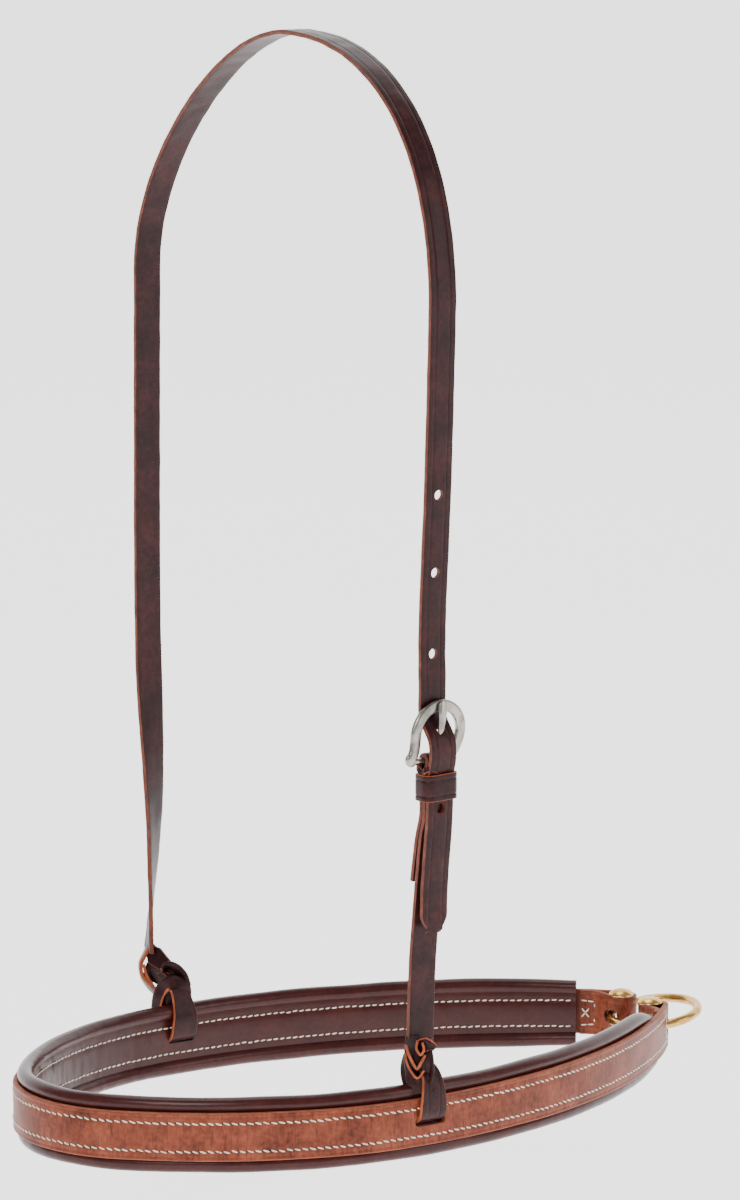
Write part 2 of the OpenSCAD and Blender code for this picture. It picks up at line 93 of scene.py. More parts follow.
class Tree:
    def __init__(self, name):
        self.mat = bpy.data.materials.new(name)
        self.mat.use_nodes = True
        self.nt = self.mat.node_tree
        self.nt.nodes.clear()
        self.out = self.nt.nodes.new("ShaderNodeOutputMaterial")
        self.bsdf = self.nt.nodes.new("ShaderNodeBsdfPrincipled")
        self.link(self.bsdf.outputs[0], self.out.inputs[0])

    def link(self, a, b):
        self.nt.links.new(a, b)

    def put(self, socket, value):
        if isinstance(value, bpy.types.NodeSocket):
            self.link(value, socket)
        else:
            socket.default_value = value

    def shader(self, **values):
        for k, v in values.items():
            self.put(self.bsdf.inputs[k.replace("_", " ")], v)

    def coords(self, scale, uv=True):
        if uv:
            src = self.nt.nodes.new("ShaderNodeUVMap")
            src.uv_map = "grain"
            src = src.outputs[0]
        else:
            src = self.nt.nodes.new("ShaderNodeTexCoord").outputs["Object"]
        m = self.nt.nodes.new("ShaderNodeMapping")
        self.link(src, m.inputs[0])
        m.inputs["Scale"].default_value = scale
        return m.outputs[0]

    def noise(self, at, scale, detail=3.0, rough=0.5, distortion=0.0):
        n = self.nt.nodes.new("ShaderNodeTexNoise")
        self.link(at, n.inputs["Vector"])
        n.inputs["Scale"].default_value = scale
        n.inputs["Detail"].default_value = detail
        n.inputs["Roughness"].default_value = rough
        n.inputs["Distortion"].default_value = distortion
        return n.outputs["Fac"]

    def cells(self, at, scale, feature="F1", randomness=1.0):
        n = self.nt.nodes.new("ShaderNodeTexVoronoi")
        n.feature = feature
        self.link(at, n.inputs["Vector"])
        n.inputs["Scale"].default_value = scale
        n.inputs["Randomness"].default_value = randomness
        return n.outputs["Distance"]

    def ramp(self, fac, *stops):
        n = self.nt.nodes.new("ShaderNodeValToRGB")
        e = n.color_ramp.elements
        while len(e) < len(stops):
            e.new(0.5)
        for el, (pos, col) in zip(e, stops):
            el.position = pos
            el.color = col if not isinstance(col, float) else (col, col, col, 1)
        self.put(n.inputs[0], fac)
        return n.outputs[0]

    def mix(self, fac, a, b, kind="MIX"):
        n = self.nt.nodes.new("ShaderNodeMix")
        n.data_type = "RGBA"
        n.blend_type = kind
        self.put(n.inputs[0], fac)
        self.put(n.inputs[6], a)
        self.put(n.inputs[7], b)
        return n.outputs[2]

    def math(self, kind, a, b=0.0, clamp=False):
        n = self.nt.nodes.new("ShaderNodeMath")
        n.operation = kind
        n.use_clamp = clamp
        self.put(n.inputs[0], a)
        self.put(n.inputs[1], b)
        return n.outputs[0]

    def bump(self, height, strength, distance, normal=None):
        n = self.nt.nodes.new("ShaderNodeBump")
        n.inputs["Strength"].default_value = strength
        n.inputs["Distance"].default_value = distance
        self.put(n.inputs["Height"], height)
        if normal is not None:
            self.link(normal, n.inputs["Normal"])
        return n.outputs[0]


# The "grain" UV map counts centimetres: u along a piece, v across it.
def leather(name, dark, mid, light, rough, coat, streak=0.0, pore=9.0, uv=True, relief=0.32):
    t = Tree(name)
    k = 1.0 if uv else 100.0
    even = t.coords((k, k, k), uv)
    across = t.coords((2.4 * k, 0.35 * k, k), uv)
    cloud = t.noise(even, 0.55, 4, 0.55)
    mottle = t.noise(even, 3.2, 5, 0.6)
    tone = t.math("ADD", t.math("MULTIPLY", cloud, 0.55), t.math("MULTIPLY", mottle, 0.45))
    colour = t.ramp(tone, (0.32, dark), (0.5, mid), (0.68, light))
    marks = t.noise(across, 2.6, 6, 0.68, 0.4)
    if streak:
        colour = t.mix(t.ramp(marks, (0.5, 0.0), (0.74, streak)), colour, dark)
        fine = t.noise(across, 9.0, 4, 0.6)
        colour = t.mix(t.ramp(fine, (0.56, 0.0), (0.78, 0.6 * streak)), colour, light)
    pores = t.cells(even, pore)
    dots = t.ramp(pores, (0.0, 0.75 if relief > 0.2 else 0.93), (0.22, 1.0))
    colour = t.mix(1.0, colour, dots, "MULTIPLY")
    patchy = 0.22 if relief > 0.2 else 0.05
    shine = t.math("ADD", t.math("MULTIPLY", mottle, patchy), rough - patchy / 2)
    grain = t.math("ADD", t.math("MULTIPLY", pores, 0.6), t.math("MULTIPLY", t.noise(even, 16, 4, 0.6), 0.6))
    normal = t.bump(grain, relief, 0.0002)
    normal = t.bump(marks if streak else t.noise(even, 2.0, 4, 0.5), relief, 0.0004, normal)
    t.shader(Base_Color=colour, Roughness=shine, Normal=normal)
    t.bsdf.inputs["Coat Weight"].default_value = coat
    t.bsdf.inputs["Coat Roughness"].default_value = 0.28
    t.bsdf.inputs["Specular IOR Level"].default_value = 0.14
    return t.mat


def raw(name, dark, mid, light, uv=True):
    """Cut edge of the hide: fibrous, in layers along the edge."""
    t = Tree(name)
    k = 1.0 if uv else 100.0
    fibre = t.noise(t.coords((1.2 * k, 9.0 * k, k), uv), 2.2, 6, 0.7, 0.5)
    blot = t.noise(t.coords((k, k, k), uv), 1.4, 4, 0.6)
    colour = t.ramp(t.math("ADD", t.math("MULTIPLY", fibre, 0.5), t.math("MULTIPLY", blot, 0.5)),
                    (0.34, dark), (0.5, mid), (0.66, light))
    t.shader(Base_Color=colour, Roughness=0.72, Normal=t.bump(fibre, 0.5, 0.0004))
    return t.mat


def metal(name, colour, worn, rough, bright):
    t = Tree(name)
    at = t.coords((100, 100, 100), False)
    cloud = t.noise(at, 1.1, 5, 0.6)
    fine = t.noise(at, 22.0, 3, 0.6)
    scratch = t.noise(t.coords((600, 90, 350), False), 1.0, 3, 0.7)
    t.shader(Base_Color=t.mix(t.ramp(cloud, (0.42, 0.0), (0.66, 0.75)), colour, worn), Metallic=1.0,
             Roughness=t.math("ADD", t.math("MULTIPLY", cloud, bright), rough),
             Normal=t.bump(t.math("ADD", fine, scratch), 0.12, 0.0002))
    return t.mat


def thread_material():
    t = Tree("waxed_thread")
    at = t.coords((100, 100, 100), False)
    twist = t.cells(at, 18.0)
    dirt = t.noise(at, 1.6, 4, 0.6)
    colour = t.ramp(dirt, (0.35, lin(206, 186, 160)), (0.6, lin(238, 226, 206)))
    t.shader(Base_Color=t.mix(1.0, colour, t.ramp(twist, (0.0, 0.82), (0.3, 1.0)), "MULTIPLY"), Roughness=0.62,
             Normal=t.bump(twist, 0.5, 0.0002))
    t.bsdf.inputs["Sheen Weight"].default_value = 0.15
    return t.mat


def plain(name, colour, rough):
    t = Tree(name)
    spots = t.noise(t.coords((100, 100, 100), False), 8.0, 4, 0.6)
    t.shader(Base_Color=t.mix(spots, colour, tuple(c * 0.6 for c in colour[:3]) + (1,)), Roughness=rough)
    return t.mat


LATIGO = leather("latigo", lin(26, 8, 10), lin(44, 17, 18), lin(64, 28, 27), 0.36, 0.05, pore=13.0)
EDGE = raw("raw_edge", lin(104, 44, 22), lin(160, 74, 36), lin(196, 106, 58))
DARK_EDGE = raw("burnished_edge", lin(54, 22, 16), lin(98, 44, 26), lin(134, 68, 40))
RUSSET = leather("harness_russet", lin(62, 24, 15), lin(122, 58, 38), lin(150, 78, 54), 0.42, 0.06, 1.0, 10.0)
RUSSET_EDGE = raw("harness_edge", lin(100, 48, 30), lin(144, 74, 46), lin(172, 98, 66))
LINER = leather("liner_leather", lin(46, 15, 14), lin(58, 21, 19), lin(70, 28, 24), 0.26, 0.22, pore=16.0, relief=0.05)
THREAD = thread_material()
# Painted shade: a dark matte brown for the awl holes and the liner's slot walls, standing in for the shade inside them.
HOLE_SHADE = plain("painted_hole_shade", lin(54, 26, 18), 0.9)
BRASS = metal("brass", lin(218, 176, 104), lin(168, 122, 62), 0.15, 0.2)
STEEL = metal("nickelled_steel", lin(170, 164, 156), lin(98, 93, 88), 0.16, 0.26)


# ---- mesh helpers ----

def world(p):
    p = np.asarray(p, float)
    return (p - np.array([0, 0, DROP])) / 1000.0


def place(name, verts, faces, mats, index=None, uv=None, smooth=35):
    me = bpy.data.meshes.new(name)
    me.from_pydata([tuple(v) for v in world(verts)], [], [tuple(f) for f in faces])
    for m in mats:
        me.materials.append(m)
    if index is not None:
        me.polygons.foreach_set("material_index", np.asarray(index, np.int32))
    layer = me.uv_layers.new(name="grain")
    if uv is not None:
        layer.data.foreach_set("uv", np.asarray(uv, np.float32).ravel())
    me.validate()
    finish_mesh(me, smooth)
    ob = bpy.data.objects.new(name, me)
    bpy.context.scene.collection.objects.link(ob)
    return ob


def finish_mesh(me, smooth):
    bm = bmesh.new()
    bm.from_mesh(me)
    bmesh.ops.recalc_face_normals(bm, faces=bm.faces)
    bm.to_mesh(me)
    bm.free()
    me.shade_smooth()
    me.set_sharp_from_angle(angle=math.radians(smooth))


def loft(name, rings, kinds, mats, smooth=35, hoop=False, u0=0.0):
    """Skin over rings of points (n, k, 3); kinds[j] is the material of the strip from point j to j + 1."""
    rings = np.asarray(rings, float)
    n, k = rings.shape[:2]
    mid = rings.mean(1)
    nxt = np.roll(mid, -1, 0) if hoop else mid[1:]
    seg = np.linalg.norm(nxt - (mid if hoop else mid[:-1]), axis=1)
    us = u0 + np.concatenate([[0], np.cumsum(seg)]) / 10
    ring = rings[n // 2]
    vs = np.concatenate([[0], np.cumsum(np.linalg.norm(np.roll(ring, -1, 0) - ring, axis=1))]) / 10
    faces, index, uv = [], [], []
    for i in range(n if hoop else n - 1):
        a, b = i * k, ((i + 1) % n) * k
        for j in range(k):
            j2 = (j + 1) % k
            faces.append((a + j, a + j2, b + j2, b + j))
            index.append(kinds[j])
            uv += [(us[i], vs[j]), (us[i], vs[j + 1]), (us[i + 1], vs[j + 1]), (us[i + 1], vs[j])]
    if not hoop:
        for i, order in ((0, range(k)), (n - 1, range(k - 1, -1, -1))):
            faces.append(tuple(i * k + j for j in order))
            index.append(max(kinds))
            uv += [(us[min(i, n - 1)] + 0.1 * np.dot(rings[i, j] - rings[i, 0], (0, 0, 1)), vs[j]) for j in order]
    return place(name, rings.reshape(-1, 3), faces, mats, index, uv, smooth)


def profile(w, t, bevel=0.5, creases=(), depth=0.22, groove=1.3, crown=0.0):
    """Strap section: (across, outward) points and the material of each strip, 0 skin and 1 cut edge."""
    xs = sorted(set([-w / 2 + bevel, w / 2 - bevel] + [x for c in creases for x in
                (c - groove / 2, c - groove / 4, c, c + groove / 4, c + groove / 2)]
                    + list(np.linspace(-w / 2 + bevel, w / 2 - bevel, 7))))

    def lift(x):
        dip = sum(depth * math.exp(-((x - c) / (groove * 0.28)) ** 2) for c in creases)
        return t / 2 - dip + crown * (1 - (2 * x / w) ** 2)
    top = [(x, lift(x), 0) for x in xs]
    top[-1] = (top[-1][0], top[-1][1], 0)
    arc = [(w / 2 - bevel + bevel * math.sin(a), t / 2 - bevel + bevel * math.cos(a), 1)
           for a in (0.45, 1.0, 1.45)]
    side = [(w / 2 + 0.08, 0.0, 1)]
    low = [(x, -y, k) for x, y, k in arc[::-1]]
    bottom = [(x, -t / 2, 0) for x in np.linspace(w / 2 - bevel, -w / 2 + bevel, 8)]
    pts = top + arc + side + low + bottom + [(-x, -y, 1) for x, y, k in arc] + \
        [(-x, y, 1) for x, y, k in side] + [(-x, y, 1) for x, y, k in arc[::-1]]
    kinds = []
    for i, p in enumerate(pts):
        q = pts[(i + 1) % len(pts)]
        kinds.append(1 if (p[2] == 1 and q[2] == 1) else 0)
    return np.array([(p[0], p[1]) for p in pts]), kinds


def unit(v):
    v = np.asarray(v, float)
    return v / np.maximum(np.linalg.norm(v, axis=-1, keepdims=True), 1e-9)


def tangents(p):
    d = np.gradient(np.asarray(p, float), axis=0)
    return unit(d)


def resample(p, step, passes=2):
    p = np.asarray(p, float)
    s = np.concatenate([[0], np.cumsum(np.linalg.norm(np.diff(p, axis=0), axis=1))])
    n = max(4, int(round(s[-1] / step)) + 1)
    q = np.stack([np.interp(np.linspace(0, s[-1], n), s, p[:, i]) for i in range(p.shape[1])], 1)
    for _ in range(passes):
        q[1:-1] = 0.25 * q[:-2] + 0.5 * q[1:-1] + 0.25 * q[2:]
    return q


def catmull(p, n=8):
    p = np.asarray(p, float)
    out = []
    for i in range(len(p) - 1):
        a, b, c, d = p[max(i - 1, 0)], p[i], p[i + 1], p[min(i + 2, len(p) - 1)]
        for j in range(n):
            t = j / n
            out.append(0.5 * (2 * b + (c - a) * t + (2 * a - 5 * b + 4 * c - d) * t * t
                              + (3 * b - a - 3 * c + d) * t ** 3))
    out.append(p[-1])
    return np.array(out)


def bezier(a, b, c, d, n=16):
    t = (np.arange(1, n + 1) / n)[:, None]
    a, b, c, d = (np.array(x, float) for x in (a, b, c, d))
    return (1 - t) ** 3 * a + 3 * (1 - t) ** 2 * t * b + 3 * (1 - t) * t * t * c + t ** 3 * d


def ribbon(name, path, side, w, t, mats, bevel=0.5, creases=(), crown=0.0, depth=0.22, wobble=0.0,
           widths=None, smooth=35, seed=0.0):
    """Strap along a path; side is the direction across its width at each point."""
    path = np.asarray(path, float)
    n = len(path)
    side = np.broadcast_to(np.asarray(side, float), (n, 3))
    tan = tangents(path)
    side = unit(side - (side * tan).sum(1, keepdims=True) * tan)
    out = np.cross(tan, side)
    rings = []
    for i in range(n):
        pr, kinds = profile(w if widths is None else widths[i], t, bevel, creases, depth, crown=crown)
        ring = path[i] + pr[:, :1] * side[i] + pr[:, 1:] * out[i]
        if wobble:
            for j, q in enumerate(ring):
                ring[j] = q + out[i] * wobble * noise.noise(Vector((q[0] * 0.11, q[1] * 0.11, q[2] * 0.11 + seed)))
        rings.append(ring)
    return loft(name, rings, kinds, mats, smooth)


def solid(name, verts, faces, mats, index=0):
    return place(name, verts, faces, mats, [index] * len(faces))


def rod(a, b, r, n=28, ends=None):
    """Verts and faces of a closed cylinder from a to b."""
    a, b = np.asarray(a, float), np.asarray(b, float)
    d = unit(b - a)
    u = unit(np.cross(d, (0.3, 0.9, 0.2)))
    v = np.cross(d, u)
    ang = np.linspace(0, 2 * math.pi, n, endpoint=False)
    circ = r * (np.cos(ang)[:, None] * u + np.sin(ang)[:, None] * v)
    verts = np.concatenate([a + circ, b + circ])
    faces = [(i, (i + 1) % n, n + (i + 1) % n, n + i) for i in range(n)]
    return verts, faces + [tuple(range(n - 1, -1, -1)), tuple(range(n, 2 * n))]


def merge(parts):
    verts, faces = [], []
    for v, f in parts:
        base = sum(len(x) for x in verts)
        verts.append(np.asarray(v, float))
        faces += [tuple(base + i for i in q) for q in f]
    return np.concatenate(verts), faces


def cut(ob, parts, slot=1, smooth=35):
    """Cuts closed shapes out of ob; the new faces take material slot."""
    verts, faces = merge(parts)
    tool = solid("cutter", verts, faces, list(ob.data.materials), slot)
    mod = ob.modifiers.new("cut", "BOOLEAN")
    mod.object, mod.operation, mod.solver = tool, "DIFFERENCE", "EXACT"
    dg = bpy.context.evaluated_depsgraph_get()
    me = bpy.data.meshes.new_from_object(ob.evaluated_get(dg))
    ob.modifiers.clear()
    ob.data = me
    bpy.data.objects.remove(tool)
    me.shade_smooth()
    me.set_sharp_from_angle(angle=math.radians(smooth))
    return ob


def oval(w, h, t):
    """Round-ended slot cutter in the X-Y plane, t thick both ways along the third axis."""
    ring = [((w - h) / 2 + h / 2 * math.cos(a), h / 2 * math.sin(a)) for a in np.linspace(-math.pi / 2, math.pi / 2, 13)]
    ring += [(-x, -y) for x, y in ring]
    k = len(ring)
    v = np.array([(x, y, -t) for x, y in ring] + [(x, y, t) for x, y in ring])
    f = [(i, (i + 1) % k, k + (i + 1) % k, k + i) for i in range(k)]
    return v, f + [tuple(range(k - 1, -1, -1)), tuple(range(k, 2 * k))]


def done(ob, body, slot, *nodes):
    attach(ob, body)
    if nodes:
        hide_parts(*nodes)
    return ob


def lathe(name, curve, axis_at, mats, n=64):
    """Turned piece from (radius, height) points, about the vertical through axis_at."""
    ang = np.linspace(0, 2 * math.pi, n, endpoint=False)
    verts, faces = [], []
    k = len(curve)
    for a in ang:
        verts += [(axis_at[0] + r * math.cos(a), axis_at[1] + r * math.sin(a), h) for r, h in curve]
    for i in range(n):
        for j in range(k - 1):
            faces.append((i * k + j, i * k + j + 1, ((i + 1) % n) * k + j + 1, ((i + 1) % n) * k + j))
    ob = place(name, np.array(verts), faces, mats)
    bm = bmesh.new()
    bm.from_mesh(ob.data)
    bmesh.ops.remove_doubles(bm, verts=bm.verts, dist=1e-6)
    bmesh.ops.recalc_face_normals(bm, faces=bm.faces)
    bm.to_mesh(ob.data)
    bm.free()
    ob.data.set_sharp_from_angle(angle=math.radians(50))
    return ob


# ---- headstall ----

ARCH_N, ARCH_F, SHOULDER = 126.0, 138.0, 130.0
FAR_Y, FAR_TURN = 140.0, 68.0
HEEL_Y, CREST_Y, TOP_Y, FRONT_Y = 121.0, 127.1, 118.0, 121.4
GAP, ST, SW = 2.7, 2.4, 16.0
BAR, TONGUE, TIP = 216.3, 202.6, 98.5
crown_z = DROP + ST / 2


def crown_path():
    far = catmull([(FAR_Y, PIVOT), (ARCH_F - 3.5, PIVOT + 81), (ARCH_F + 1.5, PIVOT + 186),
                   (ARCH_F, DROP - SHOULDER)], 14)
    arch = bezier((ARCH_F, DROP - SHOULDER), (ARCH_F, DROP - 0.55 * SHOULDER), (0.42 * ARCH_F, crown_z),
                  (0, crown_z), 40)
    down = bezier((0, crown_z), (-0.62 * ARCH_N, crown_z), (-ARCH_N, DROP - 0.38 * SHOULDER),
                  (-ARCH_N, DROP - SHOULDER), 40)
    near = catmull([(-ARCH_N, DROP - SHOULDER), (-(ARCH_N + TOP_Y) / 2 - 0.6, BAR + 118),
                    (-TOP_Y + 0.1, BAR + 42), (-TOP_Y, BAR + 8)], 12)[1:]
    billet = catmull([(-TOP_Y, BAR + 8), (-TOP_Y + 0.1, BAR - 5), (-TOP_Y - 4.2, TONGUE + 2),
                      (-CREST_Y + 0.9, TONGUE - 3.4), (-CREST_Y, HEEL + 4.5), (-CREST_Y + 0.6, HEEL - 1.5),
                      (-FRONT_Y - GAP - 1.1, KEEPER + 8.2), (-FRONT_Y - GAP - 0.3, KEEPER + 4.5),
                      (-FRONT_Y - GAP, KEEPER), (-FRONT_Y - GAP, KEEPER - 15), (-FRONT_Y + 1.4, TIP + 24),
                      (-FRONT_Y + 2, TIP)], 10)[1:]
    return np.concatenate([far, arch, down, near, billet])


def make_crown():
    p = resample(crown_path(), 1.6)
    path = np.column_stack([np.zeros(len(p)), p])
    turn = np.where(p[:, 0] < 0, 0, np.radians(FAR_TURN) * np.clip(1 - (p[:, 1] - PIVOT) / 150, 0, 1) ** 1.2)
    side = np.column_stack([np.cos(turn), np.sin(turn), np.zeros(len(p))])
    last = len(p) // 2
    widths = np.full(len(p), SW)
    for i in range(last, len(p)):
        d = p[i, 1] - TIP
        if d < 10.5:
            widths[i] = max(1.6, SW * math.sin(math.pi / 2 * min(1, (d + 0.6) / 10.5)) ** 0.8)
    ob = ribbon("crown_strap_leather", path, side, SW, ST, [LATIGO, DARK_EDGE], creases=(-4.3, 4.3), crown=0.12,
                wobble=0.28, widths=widths)
    tan = tangents(path)
    s = np.concatenate([[0], np.cumsum(np.linalg.norm(np.diff(path, axis=0), axis=1))])
    at = max(i for i in range(len(p)) if p[i, 1] >= TONGUE)
    spots = [int(np.argmin(abs(s - (s[at] - k * 40.5)))) for k in range(4)]
    spots.append(max(i for i in range(len(p)) if p[i, 1] >= TONGUE - 39.5))
    holes = []
    pulled = max(i for i in range(len(p)) if p[i, 1] >= TONGUE - 0.9)
    for i in spots[1:]:
        out = np.cross(tan[i], (1, 0, 0))
        holes.append(rod(path[i] - out * 5, path[i] + out * 5, 2.7, 36))
    out = np.cross(tan[pulled], (1, 0, 0))
    v, f = oval(5.0, 3.8, 5)
    holes.append((path[pulled] + np.array([0.2, 0, 0]) + v[:, :1] * tan[pulled] + v[:, 1:2] * np.array([1, 0, 0]) + v[:, 2:] * out, f))
    cut(ob, holes)
    return ob


crown = make_crown()


def make_cheek():
    up = catmull([(-SLOT_Y + 3.6, PIVOT - 10), (-SLOT_Y + 4, PIVOT), (-SLOT_Y + 2, PIVOT + 38),
                  (-FRONT_Y + 6.4, KEEPER - 50), (-FRONT_Y + 3.2, KEEPER - 27), (-FRONT_Y, KEEPER - 15),
                  (-FRONT_Y, KEEPER - 4), (-FRONT_Y - 0.3, KEEPER + 4), (-HEEL_Y - 1.8, HEEL - 5)], 10)
    a = np.radians(np.arange(180, -1, -15))
    r = 1.6 + 0.1 + ST / 2
    turn = np.column_stack([-HEEL_Y + r * np.cos(a), HEEL + r * np.sin(a)])
    down = catmull([(-HEEL_Y + 2.7, HEEL - 4), (-FRONT_Y + GAP, KEEPER + 3), (-FRONT_Y + GAP, KEEPER - 4),
                    (-FRONT_Y + GAP, KEEPER - 15), (-FRONT_Y + GAP + 3.6, KEEPER - 27),
                    (-FRONT_Y + GAP + 7.8, KEEPER - 50)], 10)
    p = resample(np.concatenate([up[:-1], turn, down[1:]]), 1.2, 1)
    path = np.column_stack([np.zeros(len(p)), p])
    ob = ribbon("cheek_strap_leather", path, (1, 0, 0), SW, ST, [LATIGO, DARK_EDGE], creases=(-5.6, 5.6),
                wobble=0.25, seed=3)
    v = [(x, y, z) for x in (-1.9, 1.9) for y in (-HEEL_Y - 8, -HEEL_Y + 8) for z in (HEEL - 6, HEEL + 6)]
    f = [(0, 1, 3, 2), (4, 6, 7, 5), (0, 4, 5, 1), (2, 3, 7, 6), (0, 2, 6, 4), (1, 5, 7, 3)]
    return cut(ob, [(np.array(v), f)])


cheek = make_cheek()


def make_keeper():
    w, d, r = SW + 1.6 + 1.8, 3 * ST + 2.2 + 1.8, 3.6
    pts = []
    for cx, cy, a0 in ((1, 1, 0), (-1, 1, 90), (-1, -1, 180), (1, -1, 270)):
        for a in np.radians(np.linspace(a0, a0 + 90, 9)):
            pts.append((cx * (w / 2 - r) + r * math.cos(a), cy * (d / 2 - r) + r * math.sin(a)))
    p = resample(pts + [pts[0]], 0.9, 0)[:-1]
    n = len(p)
    tan = unit(np.roll(p, -1, 0) - np.roll(p, 1, 0))
    out = np.column_stack([tan[:, 1], -tan[:, 0]])
    pr, kinds = profile(13.5, 1.8, 0.4, (-4.0, 4.0), 0.25)
    rings = []
    for i in range(n):
        c = np.array([p[i, 0], -FRONT_Y + p[i, 1], KEEPER])
        o = np.array([out[i, 0], out[i, 1], 0])
        swell = 0.35 * (abs(out[i, 1]) > 0.9) * (1 - (2 * p[i, 0] / w) ** 2)
        rings.append([c + o * (y + swell) + np.array([0, 0, x + 0.25 * math.sin(3 * p[i, 0] / w)]) for x, y in pr])
    return loft("keeper_leather", rings, kinds, [LATIGO, EDGE], hoop=True)


done(make_keeper(), "strap_keeper", "latigo", "keeper")


def make_lace():
    z = (HEEL + KEEPER + 6.75) / 2 - 1.2
    pts = catmull([(-2.5, -FRONT_Y - 4.6, z - 0.4), (-7.0, -FRONT_Y - 4.5, z + 1.4), (-9.2, -FRONT_Y - 3.0, z + 0.2),
                   (-8.9, -FRONT_Y - 0.6, z - 1.6), (-9.4, -FRONT_Y + 2.4, z + 0.4), (-8.2, -FRONT_Y + 4.6, z + 1.0),
                   (-5.0, -FRONT_Y + 6.0, z)], 8)
    return ribbon("cheek_lace_leather", pts, (0.1, 0.1, 1), 2.8, 1.2, [LATIGO, EDGE], bevel=0.3)


done(make_lace(), "headstall", "raw_edge", "cheek_lace")


# ---- buckle ----

LEAN = 0.11

def make_buckle():
    r, band, t, leg = 17.0, 5.8, 3.0, 13.5
    mid = r - band / 2
    pts = [(mid - 4.8, 1.8), (mid - 2.4, leg * 0.38), (mid - 0.7, leg * 0.7)]
    pts += [(mid * math.cos(a), leg + mid * math.sin(a)) for a in np.linspace(0, math.pi, 49)]
    pts += [(-mid + 0.1, leg * 0.7), (-mid - 0.1, leg * 0.38), (-mid - 1.3, 1.8)]
    p = resample(pts, 0.8, 1)
    tan = tangents(p)
    nrm = np.column_stack([tan[:, 1], -tan[:, 0]])
    b, h = band / 2, t / 2
    section = [(-b, -h * 0.55), (-b + 0.5, -h * 0.92), (-b + 1.1, -h), (b - 1.4, -h), (b - 0.7, -h * 0.85), (b - 0.15, -h * 0.45),
               (b, 0), (b - 0.15, h * 0.45), (b - 0.7, h * 0.85), (b - 1.4, h), (-b + 1.1, h), (-b + 0.5, h * 0.92),
               (-b, h * 0.55), (-b - 0.12, 0)]
    rings = []
    for i in range(len(p)):
        rings.append([(p[i, 0] + nrm[i, 0] * x + LEAN * p[i, 1], -HEEL_Y - y, HEEL + p[i, 1] + nrm[i, 1] * x)
                      for x, y in section])
    ob = loft("buckle_frame_cast", rings, [0] * len(section), [STEEL], smooth=60)
    extra = []
    for sx in (-1, 1):
        v, f = [], []
        n, m = 20, 32
        for i in range(1, n):
            th = math.pi * i / n
            for j in range(m):
                ph = 2 * math.pi * j / m
                rr = 3.5 * (abs(math.sin(th)) ** 0.8)
                v.append(((mid - 4.8 if sx > 0 else -mid - 1.3) + rr * math.cos(ph), -HEEL_Y - 1.62 * math.copysign(abs(math.cos(th)) ** 0.75, math.cos(th)),
                          HEEL + 1.2 + rr * math.sin(ph) * 1.05))
        for i in range(n - 2):
            for j in range(m):
                f.append((i * m + j, i * m + (j + 1) % m, (i + 1) * m + (j + 1) % m, (i + 1) * m + j))
        f += [tuple(range(m - 1, -1, -1)), tuple((n - 2) * m + j for j in range(m))]
        extra.append((np.array(v), f))
    bar = rod((-mid, -HEEL_Y, HEEL), (mid - 4, -HEEL_Y, HEEL), 1.6, 32)
    for k, part in enumerate(extra + [bar]):
        done(solid("buckle_frame_" + ("end_left", "end_right", "heel_bar")[k], part[0], part[1], [STEEL]), "buckle", "steel")
    return ob


done(make_buckle(), "buckle", "steel", "buckle_frame")


def make_tongue():
    eye = 1.7
    rest = HEEL_Y + 1.5 + 0.1 + 1.1
    pts = catmull([(-HEEL_Y - eye - 0.9, HEEL + 0.6), (-HEEL_Y - eye - 0.8, HEEL + 6), (-CREST_Y + 3.2, TONGUE - 1.2),
                   (-rest - 0.6, BAR - 5.7), (-rest, BAR), (-rest, BAR + 2.3)], 12)
    p = resample(pts, 0.7, 1)
    rings = []
    n = len(p)
    tan = tangents(p)
    for i in range(n):
        f = i / (n - 1)
        w = 1.3 + 1.2 * min(1, max(0, (f - 0.3) / 0.5)) ** 1.2
        t = 1.1
        tip = 1 - max(0, (f - 0.93) / 0.07) ** 2 * 0.55
        c = np.array([LEAN * max(0, p[i, 1] - HEEL - 6), p[i, 0], p[i, 1]])
        out = np.array([0, tan[i, 1], -tan[i, 0]])
        ring = []
        for a in np.linspace(0, 2 * math.pi, 24, endpoint=False):
            cx, cy = math.cos(a), math.sin(a)
            ring.append(c + np.array([1, 0, 0]) * w * tip * math.copysign(abs(cx) ** 0.7, cx)
                        + out * t * tip * math.copysign(abs(cy) ** 0.7, cy))
        rings.append(ring)
    ob = loft("buckle_tongue_bar", rings, [0] * 24, [STEEL], smooth=50)
    rings = []
    for a in np.linspace(0, 2 * math.pi, 40, endpoint=False):
        ring = []
        for b in np.linspace(0, 2 * math.pi, 16, endpoint=False):
            rr = 2.35 + 0.62 * math.cos(b)
            ring.append((1.6 * math.sin(b), -HEEL_Y + rr * math.cos(a), HEEL + rr * math.sin(a)))
        rings.append(ring)
    done(loft("buckle_tongue_eye", rings, [0] * 16, [STEEL], smooth=60, hoop=True), "tongue", "steel")
    return ob


done(make_tongue(), "tongue", "steel", "buckle_tongue")


# ---- noseband ----

NOSE_R, NOSE_A, NOSE_C = 69.5, 39.0, np.array([-89.1, 0.0])
CHEEK_R, CHEEK_C = 184.15, np.array([0.0, -72.15])
JAW_A, JAW_R, JAW_C = 44.96, 328.3, np.array([0.0, -216.3])
END_P = np.array([232.0, 16.0])
INNER, OUTER, FACE = -2.4, 2.5, 5.5
WIRE, RING_SLOT = 2.5, 4.0


